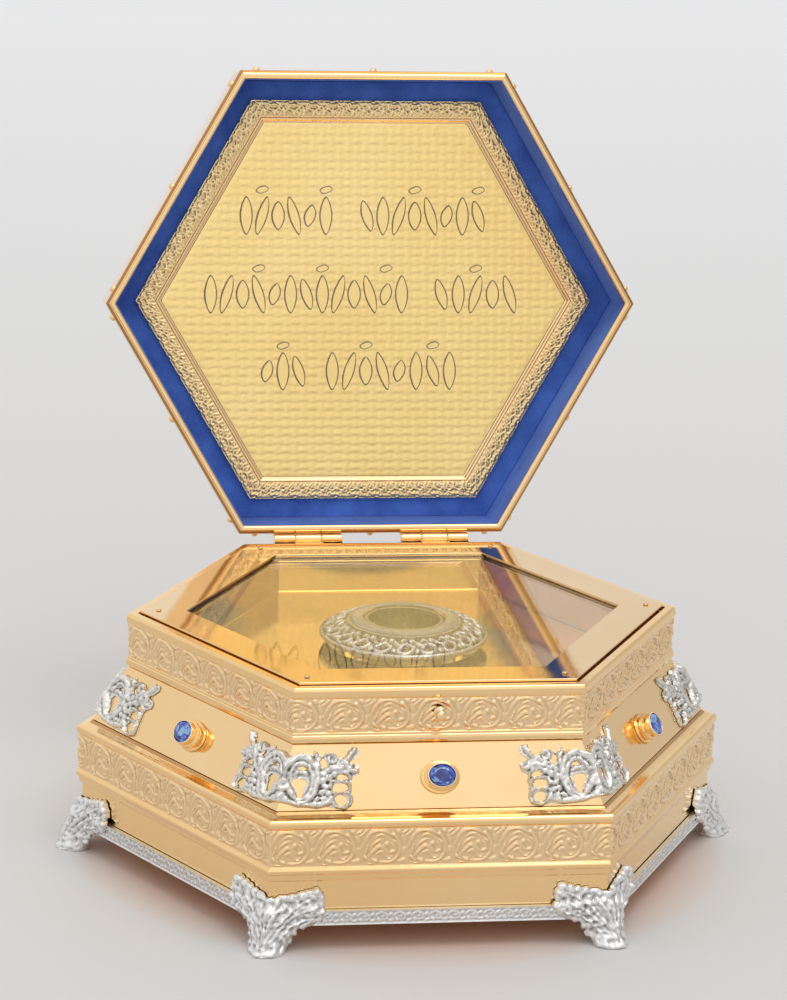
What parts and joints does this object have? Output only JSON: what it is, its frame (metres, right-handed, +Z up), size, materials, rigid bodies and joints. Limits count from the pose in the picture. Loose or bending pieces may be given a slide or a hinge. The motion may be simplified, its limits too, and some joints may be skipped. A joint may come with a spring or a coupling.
{
  "type": "hexagonal reliquary casket",
  "caption": "Hexagonal gilt reliquary casket on leaf-cast feet, with scroll bands, blue stones, silver corner mounts, a glazed top and a hinged velvet-lined lid standing open",
  "frame": {"origin": "on the surface it stands on, under the middle of the box of the whole object with the lid open", "axes": "+Z up; the front face looks along -Y and the lid hinges at the back, +Y; corners of the hexagon on +X and -X, and the object is symmetric across the plane x = 0"},
  "size_m": [0.255, 0.2602, 0.2706],
  "materials": {
    "gold": "polished gilt metal",
    "gold_band": "stamped and chased gilt metal",
    "deep_gold": "polished deep gilt metal",
    "silver": "bright cast silver",
    "blue_stone": "faceted blue stone",
    "clear_glass": "clear polished glass",
    "velvet": "blue velvet"
  },
  "bodies": {
    "casket": {"lower_tier": "gold_band", "base_plate": "gold", "base_strip": "silver", "middle_tier": "gold", "upper_tier": "gold_band", "frame_plate": "gold", "glass_pane": "clear_glass", "well_tray": "gold", "capsule_dish": "clear_glass", "capsule_ring": "silver", "capsule_cup": "gold", "foot_1": "silver", "foot_2": "silver", "foot_3": "silver", "foot_4": "silver", "foot_5": "silver", "foot_6": "silver", "corner_mount_1": "silver", "corner_mount_2": "silver", "corner_mount_3": "silver", "corner_mount_4": "silver", "corner_mount_5": "silver", "corner_mount_6": "silver", "gem_setting_1": "deep_gold", "gem_setting_2": "deep_gold", "gem_setting_3": "deep_gold", "gem_setting_4": "deep_gold", "gem_setting_5": "deep_gold", "gem_setting_6": "deep_gold", "gem_stone_1": "blue_stone", "gem_stone_2": "blue_stone", "gem_stone_3": "blue_stone", "gem_stone_4": "blue_stone", "gem_stone_5": "blue_stone", "gem_stone_6": "blue_stone", "frame_screw_1": "gold", "frame_screw_2": "gold", "frame_screw_3": "gold", "frame_screw_4": "gold", "frame_screw_5": "gold", "frame_screw_6": "gold", "latch_button": "deep_gold", "hinge_base_1": "gold", "hinge_base_2": "gold"},
    "lid": {"lid_shell": "gold", "lid_lining": "velvet", "lid_border": "gold_band", "lid_panel": "gold_band", "hinge_lid_1": "gold", "hinge_lid_2": "gold"}
  },
  "joints": [
    {"name": "lid_hinge", "type": "hinge", "parent": "casket", "child": "lid", "pos_m": [0, 0.07279, 0.0903], "axis": [1, 0, 0], "range_deg": [0, 99.6]}
  ]
}
